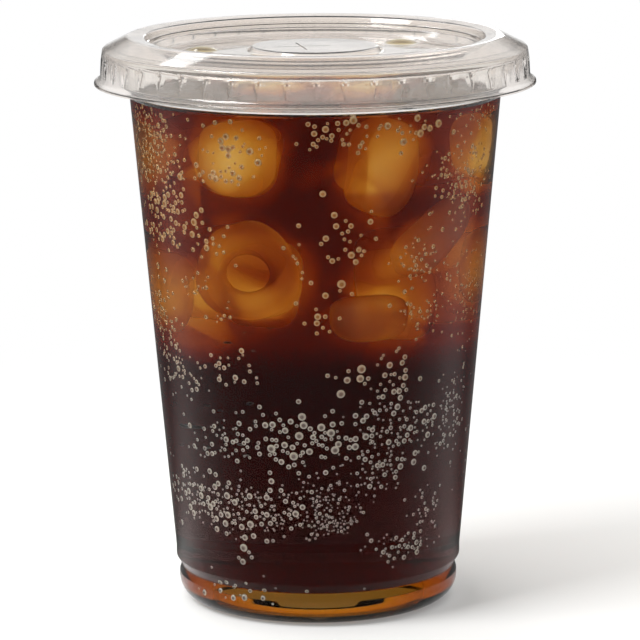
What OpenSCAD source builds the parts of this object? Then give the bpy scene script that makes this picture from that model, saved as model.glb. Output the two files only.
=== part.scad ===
// Clear disposable drinking cup with a pressed-on lid, filled with an iced dark drink.
// Millimetres, +Z up. The origin is the centre of the foot, on the surface that the cup stands on.

/* [Cup] */
// Height from the foot to the top of the rolled rim
cup_height = 124.5; // [112:0.5:140]
// Outside diameter of the rolled rim
rim_d = 92; // [91:0.2:92.2]
// Thickness of the rolled rim, seen in section
rim_roll_d = 2.6; // [2.2:0.1:2.8]
// Thickness of the cup's wall and base
wall_t = 0.45; // [0.35:0.05:0.6]
// How far the top of the wall, under the step, lies inside the rim
wall_in = 4.9; // [4:0.1:6]
// Outside diameter of the wall just above the stacking groove
wall_foot_d = 63.4; // [62:0.2:66]
// How far the neck, above the step, lies inside the rim
neck_in = 3; // [2.7:0.1:3.4]
// Distance from the rim's top down to the foot of the step
neck_drop = 10; // [9:0.2:12]
// Height of the sloping step
step_h = 1.8; // [1.2:0.2:3]

/* [Foot] */
// Outside diameter of the foot
foot_d = 62.5; // [60:0.5:64]
// Radius of the rounded lower corner of the foot
foot_corner_r = 4.6; // [3:0.2:5]
// Height of the stacking groove above the surface
groove_z = 7.6; // [7:0.2:9]
// Depth of the stacking groove
groove_depth = 0.55; // [0.3:0.05:0.8]
// Width of the stacking groove, from the foot to its bottom and as much again above
groove_w = 3.6; // [3:0.2:4.4]
// Height of the rounded shoulder above the groove
shoulder_h = 4; // [3:0.2:6]
// How far that shoulder bulges past the foot of the wall
shoulder_bulge = 0.25; // [0.1:0.05:0.4]
// Width of the flat ring that the cup stands on
stand_w = 2; // [1.4:0.2:3]
// How far the middle of the base is raised
base_rise = 6.6; // [5:0.2:7]
// Rounding where the raised middle begins
base_corner_r = 1.5; // [1:0.1:2]
// Rounding of the other bends of the wall
wall_corner_r = 1; // [0.7:0.1:1.2]
// Rounding at the bottom of the groove
groove_corner_r = 0.5; // [0.45:0.05:0.7]

/* [Lid] */
// Thickness of the lid's film
lid_t = 0.4; // [0.3:0.05:0.5]
// How far the corner above the skirt stands out past the rim
collar_over = 0.9; // [0.8:0.05:1.1]
// How far the upper end of the skirt stands out past the rim
skirt_over = 1.25; // [1.2:0.05:1.4]
// How much further the lower end of the skirt stands out
skirt_flare = 0.25; // [0.15:0.05:0.5]
// How far the turned lip stands out past the skirt
lip_reach = 1.3; // [0.9:0.1:1.8]
// Height of the turned-down edge of the lip
lip_h = 0.5; // [0.4:0.1:0.9]
// Height over which the skirt flares into the lip
flare_h = 0.7; // [0.5:0.1:1.2]
// Distance from the corner down to the lower edge of the lip
skirt_drop = 7.7; // [7:0.1:9]
// Slope of the crown's outer side
crown_slope = 27; // [22:1:32]
// How far the crest of the crown lies inside the rim
crest_in = 4.8; // [4.5:0.1:5.5]
// How far the recess begins inside the crest
recess_in = 3.6; // [3:0.1:4.5]
// Fall from the crest to the recess's edge
crest_fall = 0.45; // [0.2:0.05:0.7]
// Depth of the recess below the crest
recess_depth = 3.8; // [3.4:0.1:4.4]
// How far the stepped side of the recess runs in, from its edge to the flat plate
recess_run = 3.2; // [2.8:0.1:4]
// Rounding of the crest
crest_corner_r = 2.5; // [1.5:0.1:3]
// Rounding of the lid's softer corners
soft_corner_r = 0.7; // [0.6:0.05:0.9]
// Rounding of the lid's crisper corners
crisp_corner_r = 0.3; // [0.25:0.05:0.4]
// Diameter of the raised disc in the middle
boss_d = 28.8; // [24:0.2:34]
// Height of the raised disc
boss_rise = 1.2; // [0.8:0.1:1.6]

/* [Flutes] */
// Number of V-shaped flutes round the skirt
flute_count = 48; // [36:1:56]
// Width of a flute at its top
flute_w = 2.4; // [1.8:0.1:2.8]
// Gap between the rim and the ridges that the flutes make inside the skirt
flute_room = 0.15; // [0.1:0.05:0.4]
// Height of a flute
flute_h = 3.6; // [3:0.1:3.9]

/* [Straw slot and buttons] */
// Length of each of the two crossed cuts
slot_l = 13; // [10:0.5:16]
// Width of each cut
slot_w = 0.5; // [0.3:0.1:0.8]
// How far the cuts cross to the left of the middle
slot_left = 3; // [0:0.5:4]
// How far the cuts cross in front of the middle
slot_front = 2; // [0:0.5:4]
// Diameter of a press-down button
button_d = 7.6; // [6:0.2:9]
// Height of a button
button_rise = 1; // [0.6:0.1:1.3]

/* [Drink] */
// Distance from the rim's top down to the level of the drink
fill_drop = 10.9; // [10.6:0.1:18]
// Length of a large piece of ice, as a share of the wall's top diameter
ice_share = 0.292; // [0.25:0.001:0.292]
// Roundness of the ice: the width of the cylinders that trim a block, as a share of the block
ice_round_ratio = 1.25; // [1.1:0.01:1.35]
// Diameter of the hole along the tube-shaped piece
ice_bore_d = 10; // [6:0.5:12]

/* [Hidden] */
// Each piece of ice: node, form, size in parts of ice_edge, turn about X, Y and Z, and the place of
// its middle: across and along in parts of the wall's inner radius there, and its depth under the
// level of the drink in parts of ice_edge
ICE_PLACES = [
    ["ice_01", "block", [0.75, 0.83, 0.83], [4, -6, -24], [-0.38, -0.59, 0.4]],
    ["ice_02", "tube", [1.04, 1.04, 0.67], [80, 0, -8], [-0.34, -0.52, 1.48]],
    ["ice_03", "block", [0.63, 0.75, 1.04], [0, 13, 22], [0.33, -0.59, 0.5]],
    ["ice_04", "block", [1.04, 0.56, 0.46], [0, -34, 50], [0.59, -0.46, 1.17]],
    ["ice_05", "block", [0.75, 0.63, 0.5], [0, 4, 20], [0.27, -0.66, 1.87]],
    ["ice_06", "block", [0.71, 0.83, 1.08], [4, 0, 8], [-0.3, 0.53, 1.65]],
    ["ice_07", "block", [0.46, 0.58, 0.67], [0, 6, 70], [0.75, -0.21, 0.38]],
    ["ice_08", "block", [0.67, 0.92, 0.83], [-4, 4, 10], [-0.29, 0.53, 0.44]],
    ["ice_09", "block", [0.71, 0.83, 1.08], [0, -4, -10], [0.34, 0.52, 1.69]],
    ["ice_10", "block", [0.63, 0.75, 0.88], [0, 6, 8], [-0.29, -0.05, 0.46]],
    ["ice_11", "block", [0.63, 0.71, 1.04], [4, -4, 10], [0.35, -0.08, 1.77]],
    ["ice_12", "block", [0.5, 0.83, 0.92], [4, 6, -4], [-0.68, 0.06, 1.77]],
    ["ice_13", "block", [0.63, 0.92, 0.88], [-4, 0, -6], [0.28, 0.56, 0.46]],
    ["ice_14", "block", [0.58, 0.79, 0.83], [0, 4, 18], [0.72, 0.24, 0.5]],
    ["ice_15", "block", [0.63, 0.67, 1], [0, 4, 6], [-0.23, -0.04, 1.65]],
    ["ice_16", "block", [0.5, 0.83, 0.83], [0, -6, -10], [-0.72, 0.13, 0.57]],
    ["ice_17", "block", [0.58, 0.71, 0.83], [0, 10, 10], [0.24, 0, 0.46]],
    ["ice_18", "block", [0.5, 0.75, 0.83], [6, 0, 12], [0.75, 0.09, 1.57]],
];

$fn = 96;
ARC_STEPS = 5;
CURL_STEPS = 14;
CURL_END_ANGLE = -70;
OVERCUT = 1;
// Run of the base's slope for each millimetre of its rise
BASE_SLOPE = 0.4;
// Points of the recess's stepped side, as shares of its run and of its rise from the plate
RECESS_STEPS = [[0.47, 0.34], [0.69, 0.37], [0.75, 0.57], [0.87, 0.63]];
// Bearings of the two crossed cuts
SLOT_BEARINGS = [11, 101];
// Each button: its distance from the middle, as a share of the plate's middle line, and its bearing
BUTTON_PLACES = [[0.95, 34], [1.03, 177]];

// Gap between the rolled rim and the lid that rests on it
seat_gap = 0.05;
// Gap between the top of a flute and the underside of the rolled rim
catch_gap = 0.1;

CLEAR_PLASTIC = [0.86, 0.88, 0.88, 0.35];
DARK_DRINK = [0.2, 0.06, 0.03, 0.9];
CLOUDY_ICE = [0.85, 0.6, 0.25, 0.7];

foot_r = foot_d / 2;
stand_r = foot_r - foot_corner_r - stand_w;
shoulder_r = wall_foot_d / 2 + shoulder_bulge;
rim_r = rim_d / 2;
wall_top_r = rim_r - wall_in;
neck_r = rim_r - neck_in;
roll_r = rim_roll_d / 2;
rim_centre = [rim_r - roll_r, cup_height - roll_r];
step_z = cup_height - neck_drop;
collar_r = rim_r + collar_over;
skirt_top_r = rim_r + skirt_over;
skirt_bottom_r = skirt_top_r + skirt_flare;
lip_r = skirt_bottom_r + lip_reach;
// The lid's sloping crown rests on the round top of the rim, which sets the lid's height
collar_z = rim_centre[1]
    + (roll_r + lid_t + seat_gap - (collar_r - rim_centre[0]) * sin(crown_slope)) / cos(crown_slope);
crest_r = rim_r - crest_in;
crest_z = collar_z + (collar_r - crest_r) * tan(crown_slope);
plate_z = crest_z - recess_depth;
lip_z = collar_z - skirt_drop;
flute_top = cup_height - rim_roll_d - catch_gap;
flute_bottom = flute_top - flute_h;
flute_depth = skirt_over - lid_t - flute_room;
boss_r = boss_d / 2;
recess_r = crest_r - recess_in;
plate_r = recess_r - recess_run;
button_ring_r = (boss_r + plate_r) / 2;
fill_z = cup_height - fill_drop;
ice_edge = 2 * wall_top_r * ice_share;

// A unit vector, and the direction to its left
function unit(v) = v / norm(v);
function left(v) = [-v[1], v[0]];

// The arc that rounds corner b of the line a-b-c with radius r
function fillet(a, b, c, r) =
    let (u = unit(a - b), v = unit(c - b), half = acos(u * v) / 2,
         centre = b + unit(u + v) * r / sin(half), start = b + u * r / tan(half) - centre,
         turn = (left(u) * v > 0 ? -1 : 1) * (180 - 2 * half))
    [for (i = [0:ARC_STEPS])
        let (angle = atan2(start[1], start[0]) + turn * i / ARC_STEPS)
        centre + r * [cos(angle), sin(angle)]];

// A line of [radius, height, corner radius] points with its corners rounded
function rounded(line) =
    let (p = [for (q = line) [q[0], q[1]]], last = len(line) - 1)
    [for (i = [0:last])
        each (i > 0 && i < last && line[i][2] > 0 ? fillet(p[i - 1], p[i], p[i + 1], line[i][2]) : [p[i]])];

// The line moved to its left by t, or to its right when t is negative
function inset(p, t) =
    let (last = len(p) - 1)
    [for (i = [0:last])
        let (before = unit(p[max(i, 1)] - p[max(i, 1) - 1]),
             after = unit(p[min(i + 1, last)] - p[min(i + 1, last) - 1]),
             mitre = unit(left(before) + left(after)))
        p[i] + mitre * t / (mitre * left(before))];

function reversed(p) = [for (i = [len(p) - 1:-1:0]) p[i]];

// A turned sheet: the line p and the same line moved by t, closed and revolved
module turned_sheet(p, t) {
    rotate_extrude()
        polygon(concat(p, reversed(inset(p, t))));
}

// Outside of the cup in section, from the middle of the base to where the rim begins to roll
function cup_body_line() = rounded([
    [0, base_rise, 0],
    [stand_r - base_rise * BASE_SLOPE, base_rise, base_corner_r],
    [stand_r, 0, wall_corner_r],
    [foot_r, 0, foot_corner_r],
    [foot_r, groove_z - groove_w / 2, wall_corner_r],
    [foot_r - groove_depth, groove_z, groove_corner_r],
    [shoulder_r, groove_z + shoulder_h / 2, wall_corner_r],
    [shoulder_r, groove_z + shoulder_h, 0],
    [wall_top_r, step_z, wall_corner_r],
    [neck_r, step_z + step_h, wall_corner_r],
    [rim_centre[0] - roll_r + wall_t, rim_centre[1], 0],
]);

// The outward roll of the rim, after the wall's last point
function rim_line() = [
    for (i = [1:CURL_STEPS])
        let (angle = 180 + (CURL_END_ANGLE - 180) * i / CURL_STEPS)
        rim_centre + (roll_r - wall_t) * [cos(angle), sin(angle)]
];

// Inside of the cup in section, from the middle of the base to where the rim begins to roll
function cup_inside_line() =
    let (body = cup_body_line(), inside = inset(concat(body, rim_line()), wall_t))
    [for (i = [0:len(body) - 1]) inside[i]];

// Top of the lid in section, from the middle to the edge of the lip
function lid_line() = rounded(concat([
    [0, plate_z + boss_rise, 0],
    [boss_r - lid_t, plate_z + boss_rise, soft_corner_r],
    [boss_r + lid_t, plate_z, soft_corner_r],
    [plate_r, plate_z, soft_corner_r],
], [
    for (step = RECESS_STEPS)
        [plate_r + step[0] * recess_run, plate_z + step[1] * (recess_depth - crest_fall), crisp_corner_r]
], [
    [recess_r, crest_z - crest_fall, soft_corner_r],
    [crest_r, crest_z, crest_corner_r],
    [collar_r, collar_z, soft_corner_r],
    [skirt_top_r, flute_top, 0],
    [skirt_bottom_r, lip_z + lip_h + flare_h, 2 * soft_corner_r],
    [lip_r, lip_z + lip_h, crisp_corner_r],
    [lip_r, lip_z, 0],
]));

// One flute: a V-shaped bar that leans inwards to its full depth at the top, swollen by a film t
module flute(t) {
    lean = atan((flute_depth + skirt_flare) / flute_h);
    half_angle = atan(flute_w / 2 / flute_depth);
    reach = flute_depth + OVERCUT;
    apex = t / sin(half_angle);
    translate([skirt_bottom_r, 0, flute_bottom])
        rotate([0, -lean, 0])
            linear_extrude(flute_h / cos(lean) + t)
                polygon([
                    [-apex, 0],
                    [reach, (reach + apex) * tan(half_angle)],
                    [reach, -(reach + apex) * tan(half_angle)],
                ]);
}

module flutes(t) {
    for (i = [0:flute_count - 1])
        rotate([0, 0, 360 * i / flute_count])
            flute(t);
}

// The space just inside the skirt, out to the middle of its film, where the flutes show as ridges
module skirt_inside() {
    film_middle = lid_t / 2;
    ridge_top = flute_top + 2 * lid_t;
    rotate_extrude()
        polygon([
            [skirt_bottom_r - film_middle, flute_bottom],
            [skirt_top_r - film_middle, flute_top],
            [collar_r - film_middle, ridge_top],
            [rim_r - roll_r, ridge_top],
            [rim_r - roll_r, flute_bottom],
        ]);
}

// A domed button that stands on the plate of the lid; t shrinks it to the space under its film
module button_dome(t) {
    dome_r = (pow(button_d / 2, 2) + pow(button_rise, 2)) / (2 * button_rise);
    translate([0, 0, plate_z + button_rise - dome_r])
        sphere(r = dome_r - t);
}

module at_buttons() {
    for (place = BUTTON_PLACES)
        rotate([0, 0, place[1]])
            translate([place[0] * button_ring_r, 0, 0])
                children();
}

// A column round a button, from the plate's underside upwards by h
module button_column(h) {
    translate([0, 0, plate_z - lid_t])
        cylinder(d = button_d + 2 * OVERCUT, h = h);
}

module straw_slot() {
    for (bearing = SLOT_BEARINGS)
        translate([-slot_left, -slot_front, plate_z + boss_rise])
            rotate([0, 0, bearing])
                cube([slot_l, slot_w, 2 * OVERCUT], center = true);
}

module lid() {
    color(CLEAR_PLASTIC)
        difference() {
            union() {
                turned_sheet(lid_line(), -lid_t);
                intersection() {
                    flutes(lid_t);
                    skirt_inside();
                }
                at_buttons()
                    intersection() {
                        button_dome(0);
                        translate([0, 0, lid_t / 2])
                            button_column(button_rise + lid_t);
                    }
            }
            flutes(0);
            at_buttons()
                intersection() {
                    button_dome(lid_t);
                    translate([0, 0, -OVERCUT])
                        button_column(button_rise + 2 * OVERCUT);
                }
            straw_slot();
        }
}

module cup() {
    color(CLEAR_PLASTIC)
        turned_sheet(concat(cup_body_line(), rim_line()), wall_t);
}

// A block of ice with its edges melted round
module ice_block(size) {
    trim = ice_round_ratio / 2;
    intersection() {
        cube(size, center = true);
        cylinder(r = trim * (size[0] + size[1]) / 2, h = 2 * size[2], center = true);
        rotate([90, 0, 0])
            cylinder(r = trim * (size[0] + size[2]) / 2, h = 2 * size[1], center = true);
        rotate([0, 90, 0])
            cylinder(r = trim * (size[1] + size[2]) / 2, h = 2 * size[0], center = true);
    }
}

// A round piece of ice with a hole along it
module ice_tube(size) {
    difference() {
        intersection() {
            cylinder(d = size[0], h = size[2], center = true);
            sphere(d = ice_round_ratio * (size[0] + size[2]) / 2);
        }
        cylinder(d = ice_bore_d, h = size[2] + 2 * OVERCUT, center = true);
    }
}

// Inner radius of the cup's straight wall at a height
function bore_r(z) =
    let (wall_z = groove_z + shoulder_h, share = (z - wall_z) / (step_z - wall_z))
    shoulder_r + (wall_top_r - shoulder_r) * share - wall_t;

module ice(place) {
    height = fill_z - place[4][2] * ice_edge;
    color(CLOUDY_ICE)
        translate([place[4][0] * bore_r(height), place[4][1] * bore_r(height), height])
            rotate(place[3])
                if (place[1] == "tube")
                    ice_tube(place[2] * ice_edge);
                else
                    ice_block(place[2] * ice_edge);
}

// The drink fills the cup to its level, round the ice
module drink() {
    color(DARK_DRINK)
        difference() {
            intersection() {
                rotate_extrude()
                    polygon(concat(cup_inside_line(), [[0, rim_centre[1]]]));
                cylinder(d = rim_d, h = fill_z);
            }
            for (place = ICE_PLACES)
                ice(place);
        }
}

cup();
lid();
drink();
for (place = ICE_PLACES)
    ice(place);
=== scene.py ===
"""Dresses the lidded cold-drink cup: clear cup and lid, cola-dark drink, melting ice and clinging bubbles."""

import logging
import math
from dataclasses import dataclass
from enum import Enum
from functools import cached_property

import bmesh
import bpy
import numpy as np
from mathutils import Euler, Matrix, Vector, noise


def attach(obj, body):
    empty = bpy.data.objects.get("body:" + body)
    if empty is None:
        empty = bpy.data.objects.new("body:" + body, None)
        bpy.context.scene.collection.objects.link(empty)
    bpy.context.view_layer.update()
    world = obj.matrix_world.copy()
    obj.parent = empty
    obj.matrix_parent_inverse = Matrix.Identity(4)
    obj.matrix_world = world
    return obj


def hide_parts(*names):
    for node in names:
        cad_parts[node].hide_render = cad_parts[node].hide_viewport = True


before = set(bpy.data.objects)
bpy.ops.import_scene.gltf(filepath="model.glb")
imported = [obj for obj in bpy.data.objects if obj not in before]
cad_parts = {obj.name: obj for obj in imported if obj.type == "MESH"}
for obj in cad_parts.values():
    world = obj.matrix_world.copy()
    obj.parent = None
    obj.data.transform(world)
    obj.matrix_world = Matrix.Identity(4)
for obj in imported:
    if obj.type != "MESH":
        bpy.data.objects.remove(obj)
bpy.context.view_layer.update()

log = logging.getLogger("cold_drink_cup")
logging.basicConfig(level=logging.INFO, format="%(name)s: %(message)s")

MM = 0.001
PHOTO_PIXELS = 640
ARC_STEPS = 7
TIGHT_ARC_STEPS = 4
TIGHT_R = 0.6  # Arcs under this radius, in millimetres, take the fewer steps.
SMOOTH_ANGLE = math.radians(38)
TOUCH = 1e-6

Point = tuple[float, float]
Triple = tuple[float, float, float]
Colour = tuple[float, float, float, float]
Line = list[Point]
Shell = tuple[np.ndarray, list[tuple[int, ...]]]
Tree = bpy.types.NodeTree
Socket = bpy.types.NodeSocket

WHITE: Colour = (1.0, 1.0, 1.0, 1.0)


class Body(Enum):
    """The two CAD bodies that pieces ride on."""

    CUP = "cup_body"
    LID = "lid_body"


def linear(code: str) -> Colour:
    """Turns an sRGB hex colour into linear RGBA.

    Args:
        code: The colour as six hex digits after a hash.

    Returns:
        The colour in linear light, with an alpha of 1.
    """
    parts = [int(code[i:i + 2], 16) / 255 for i in (1, 3, 5)]
    red, green, blue = (p / 12.92 if p <= 0.04045 else ((p + 0.055) / 1.055) ** 2.4 for p in parts)
    return (red, green, blue, 1.0)


def add_node(tree: Tree, kind: str, inputs: dict | None = None, **settings: object) -> bpy.types.Node:
    """Adds a node with its settings, values and links.

    Args:
        tree: The node tree that the node goes into.
        kind: The node's type name.
        inputs: Input name or index to a plain value or to the socket that feeds it.
        **settings: Properties of the node itself.

    Returns:
        The new node.
    """
    node = tree.nodes.new(kind)
    for name, value in settings.items():
        setattr(node, name, value)
    for name, value in (inputs or {}).items():
        if isinstance(value, bpy.types.NodeSocket):
            tree.links.new(value, node.inputs[name])
        else:
            node.inputs[name].default_value = value
    return node


def maths(tree: Tree, operation: str, one: Socket | float, two: Socket | float = 0.0, clamp: bool = False) -> Socket:
    """Adds a sum.

    Args:
        tree: The node tree.
        operation: The sum's name.
        one: Its first number, or the socket that gives it.
        two: Its second number, where it has one.
        clamp: Whether the result is kept between 0 and 1.

    Returns:
        The socket that gives the result.
    """
    return add_node(tree, "ShaderNodeMath", {0: one, 1: two}, operation=operation, use_clamp=clamp).outputs[0]


def ramp(tree: Tree, value: Socket, low: float, high: float, start: float = 0.0, end: float = 1.0,
         easing: str = "SMOOTHSTEP") -> Socket:
    """Turns a stretch of a value into another stretch, and holds its ends beyond that.

    Args:
        tree: The node tree.
        value: The socket that gives the value.
        low: Where the stretch begins.
        high: Where it ends.
        start: The result at its beginning.
        end: The result at its end.
        easing: How it goes from one to the other.

    Returns:
        The socket that gives the result.
    """
    node = add_node(tree, "ShaderNodeMapRange", {"Value": value, "From Min": low, "From Max": high, "To Min": start,
                                                 "To Max": end}, interpolation_type=easing)
    return node.outputs["Result"]


def blend(tree: Tree, share: Socket, one: Colour | Socket, two: Colour | Socket) -> Socket:
    """Mixes two colours.

    Args:
        tree: The node tree.
        share: The socket that gives the second colour's share.
        one: The first colour.
        two: The second colour.

    Returns:
        The socket that gives the mixed colour.
    """
    return add_node(tree, "ShaderNodeMix", {"Factor": share, "A": one, "B": two}, data_type="RGBA").outputs["Result"]


def bumps(tree: Tree, width_mm: float, height_mm: float, detail: float = 1.0, strength: float = 1.0,
          under: Socket | None = None) -> Socket:
    """Raises soft bumps on a finish, at random places.

    Args:
        tree: The material's node tree.
        width_mm: Width of a bump on the real thing.
        height_mm: Its height.
        detail: How many sizes of smaller bumps lie on it.
        strength: How much of its height shows.
        under: The bumps that it lies on.

    Returns:
        The socket that gives the bent normal.
    """
    place = add_node(tree, "ShaderNodeTexCoord").outputs["Object"]
    wave = add_node(tree, "ShaderNodeTexNoise", {"Vector": place, "Scale": 1 / (width_mm * MM), "Detail": detail})
    inputs = {"Height": wave.outputs["Fac"], "Strength": strength, "Distance": height_mm * MM}
    if under is not None:
        inputs["Normal"] = under
    return add_node(tree, "ShaderNodeBump", inputs).outputs["Normal"]


def start_finish(name: str, values: dict[str, object]) -> tuple[bpy.types.Material, Tree, bpy.types.Node]:
    """Starts a material.

    Args:
        name: The material's name.
        values: Plain values for the shader's own sockets.

    Returns:
        The material, its node tree and its shader.
    """
    material = bpy.data.materials.new(name)
    material.use_nodes = True
    shader = material.node_tree.nodes["Principled BSDF"]
    for socket, value in values.items():
        shader.inputs[socket].default_value = value
    return material, material.node_tree, shader


def put_in_scene(name: str, data: bpy.types.ID) -> bpy.types.Object:
    """Puts a mesh, a light or a camera in the scene.

    Args:
        name: The object's name.
        data: The mesh, light or camera.

    Returns:
        The new object.
    """
    thing = bpy.data.objects.new(name, data)
    bpy.context.scene.collection.objects.link(thing)
    return thing


def settled(thing: bpy.types.Object, modifier: bpy.types.Modifier) -> bpy.types.Mesh:
    """Turns an object and its modifier into a plain mesh, and removes the modifier.

    Args:
        thing: The object.
        modifier: Its only modifier.

    Returns:
        The new mesh.
    """
    bpy.context.view_layer.update()
    mesh = bpy.data.meshes.new_from_object(thing.evaluated_get(bpy.context.evaluated_depsgraph_get()))
    thing.modifiers.remove(modifier)
    return mesh


def rounded(line: list[Triple]) -> Line:
    """Rounds the corners of a section line.

    Args:
        line: Points as radius, height and corner radius, in millimetres.

    Returns:
        The line's points, with an arc at each corner that has a radius.
    """
    points = [np.array(q[:2], float) for q in line]
    result: Line = [tuple(points[0])]
    for i in range(1, len(line) - 1):
        corner_r = line[i][2]
        if corner_r <= 0:
            result.append(tuple(points[i]))
            continue
        back = points[i - 1] - points[i]
        ahead = points[i + 1] - points[i]
        back /= np.linalg.norm(back)
        ahead /= np.linalg.norm(ahead)
        half = math.acos(float(np.clip(back @ ahead, -1, 1))) / 2
        middle = back + ahead
        centre = points[i] + middle / np.linalg.norm(middle) * corner_r / math.sin(half)
        start = points[i] + back * corner_r / math.tan(half) - centre
        side = 1 if -back[1] * ahead[0] + back[0] * ahead[1] <= 0 else -1
        turn = side * (math.pi - 2 * half)
        first = math.atan2(start[1], start[0])
        steps = TIGHT_ARC_STEPS if corner_r < TIGHT_R else ARC_STEPS
        for step in range(steps + 1):
            angle = first + turn * step / steps
            result.append((centre[0] + corner_r * math.cos(angle), centre[1] + corner_r * math.sin(angle)))
    result.append(tuple(points[-1]))
    return result


def inset(line: Line, distance: float) -> Line:
    """Moves a line sideways by a mitred distance.

    Args:
        line: The line's points.
        distance: How far it moves to its left, or to its right when negative.

    Returns:
        The moved line, point for point.
    """
    points = np.array(line, float)
    steps = np.diff(points, axis=0)
    steps /= np.linalg.norm(steps, axis=1)[:, None]
    lefts = np.stack([-steps[:, 1], steps[:, 0]], axis=1)
    before = np.vstack([lefts[:1], lefts])
    after = np.vstack([lefts, lefts[-1:]])
    mitre = before + after
    mitre /= np.linalg.norm(mitre, axis=1)[:, None]
    moved = points + mitre * distance / np.sum(mitre * before, axis=1)[:, None]
    return [tuple(p) for p in moved]


def divided(line: Line, longest: float, low_r: float = 0, high_r: float = 1e9) -> Line:
    """Divides the long stretches of a line.

    Args:
        line: The line's points.
        longest: The longest stretch that may stay whole.
        low_r: Only stretches outside this radius are divided.
        high_r: Only stretches inside this radius are divided.

    Returns:
        The line with more points.
    """
    result: Line = [line[0]]
    for a, b in zip(line, line[1:]):
        length = math.dist(a, b)
        inside = low_r <= (a[0] + b[0]) / 2 <= high_r
        count = max(1, math.ceil(length / longest)) if inside else 1
        result += [(a[0] + (b[0] - a[0]) * k / count, a[1] + (b[1] - a[1]) * k / count) for k in range(1, count + 1)]
    return result


def cut_at(line: Line, height: float) -> Line:
    """Adds a point where a line first rises through a height.

    Args:
        line: The line's points.
        height: The height.

    Returns:
        The line, with one point more where it rises through the height.
    """
    for i, (a, b) in enumerate(zip(line, line[1:])):
        if a[1] < height < b[1]:
            share = (height - a[1]) / (b[1] - a[1])
            return [*line[:i + 1], (a[0] + (b[0] - a[0]) * share, height), *line[i + 1:]]
    return line


def mesh_object(name: str, corners: np.ndarray, faces: list[tuple[int, ...]]) -> bpy.types.Object:
    """Makes a smooth-shaded object at the origin from corners in millimetres.

    Args:
        name: The object's name.
        corners: The corners as an array of x, y and z.
        faces: The faces as tuples of corner numbers.

    Returns:
        The new object, linked to the scene.
    """
    mesh = bpy.data.meshes.new(name)
    mesh.from_pydata((np.asarray(corners) * MM).tolist(), [], faces)
    mesh.validate()
    work = bmesh.new()
    work.from_mesh(mesh)
    bmesh.ops.recalc_face_normals(work, faces=work.faces)
    work.to_mesh(mesh)
    work.free()
    mesh.shade_smooth()
    mesh.set_sharp_from_angle(angle=SMOOTH_ANGLE)
    return put_in_scene(name, mesh)


def revolved(line: Line, steps: int) -> Shell:
    """Turns a section that starts and ends on the axis into a closed shell.

    Args:
        line: Points as radius and height, in millimetres.
        steps: How many steps the full turn takes.

    Returns:
        The corners, and the faces ring by ring from the start of the line.
    """
    turns = np.linspace(0, 2 * math.pi, steps, endpoint=False)
    points = np.array(line, float)
    grid = np.stack([points[:, :1] * np.cos(turns), points[:, :1] * np.sin(turns),
                     np.repeat(points[:, 1:], steps, axis=1)], axis=2)
    return wrapped(grid)


def wrapped(grid: np.ndarray) -> Shell:
    """Joins rings of points into a closed shell.

    Args:
        grid: Points as an array of ring, step and x, y, z. The first and last rings lie on the axis.

    Returns:
        The corners, and the faces ring by ring from the first.
    """
    rings, steps = grid.shape[:2]
    corners = np.vstack([grid[0, :1], grid[1:-1].reshape(-1, 3), grid[-1, :1]])
    last = len(corners) - 1
    number = np.arange(1, last).reshape(rings - 2, steps)
    after = np.roll(number, -1, axis=1)
    faces: list[tuple[int, ...]] = [(0, a, b) for a, b in zip(number[0].tolist(), after[0].tolist())]
    for ring in range(rings - 3):
        faces += list(zip(number[ring].tolist(), number[ring + 1].tolist(),
                          after[ring + 1].tolist(), after[ring].tolist()))
    faces += [(last, b, a) for a, b in zip(number[-1].tolist(), after[-1].tolist())]
    return corners, faces


def cut_away(piece: bpy.types.Object, tool: bpy.types.Object) -> None:
    """Cuts one closed mesh out of another and deletes the tool.

    Args:
        piece: The object that loses material.
        tool: The object that is cut out of it.
    """
    cut = piece.modifiers.new("cut", "BOOLEAN")
    cut.operation = "DIFFERENCE"
    cut.object = tool
    cut.solver = "MANIFOLD"
    finishes = list(piece.data.materials)
    result = settled(piece, cut)
    piece.data = result
    # The cut leaves an empty material slot, so the piece's own finishes are put back.
    result.materials.clear()
    for finish in finishes:
        result.materials.append(finish)
    bpy.data.objects.remove(tool)
    result.shade_smooth()
    result.set_sharp_from_angle(angle=SMOOTH_ANGLE)


def finish_piece(piece: bpy.types.Object, body: Body, nodes: tuple[str, ...] = ()) -> None:
    """Hangs a finished piece on its body, hides the CAD parts that it stands for, and reports it.

    Args:
        piece: The object.
        body: The CAD body that it moves with.
        nodes: The CAD nodes that it stands for.
    """
    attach(piece, body.value)
    if nodes:
        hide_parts(*nodes)
    triangles = sum(len(p.vertices) - 2 for p in piece.data.polygons)
    log.info("%s: %d triangles on %s", piece.name, triangles, body.value)


@dataclass(frozen=True)
class ClearSheet:
    """Clear thermoformed PET: sharp reflections, and a faint waviness left by the mould and the stretch."""

    name: str
    tint: str = "#fbfbfa"
    ior: float = 1.5
    roughness: float = 0.015
    shine: float = 1.0
    wave_mm: float = 7.0
    wave_height_mm: float = 0.02
    grain_mm: float = 0.8
    grain_height_mm: float = 0.0015

    def material(self) -> bpy.types.Material:
        """Builds the material.

        Returns:
            The material.
        """
        material, tree, shader = start_finish(self.name, {
            "Base Color": linear(self.tint), "Transmission Weight": 1.0, "IOR": self.ior,
            "Roughness": self.roughness, "Specular Tint": (self.shine, self.shine, self.shine, 1.0)})
        waves = bumps(tree, self.wave_mm, self.wave_height_mm)
        tree.links.new(bumps(tree, self.grain_mm, self.grain_height_mm, 2.0, under=waves), shader.inputs["Normal"])
        return material


@dataclass(frozen=True)
class WetFace:
    """A face where plastic and drink, or drink and drink, meet: both bend light alike, so nothing shows there."""

    name: str

    def material(self) -> bpy.types.Material:
        """Builds the material and returns it."""
        return start_finish(self.name, {"Alpha": 0.0, "Roughness": 0.0, "IOR": 1.0})[0]


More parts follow.
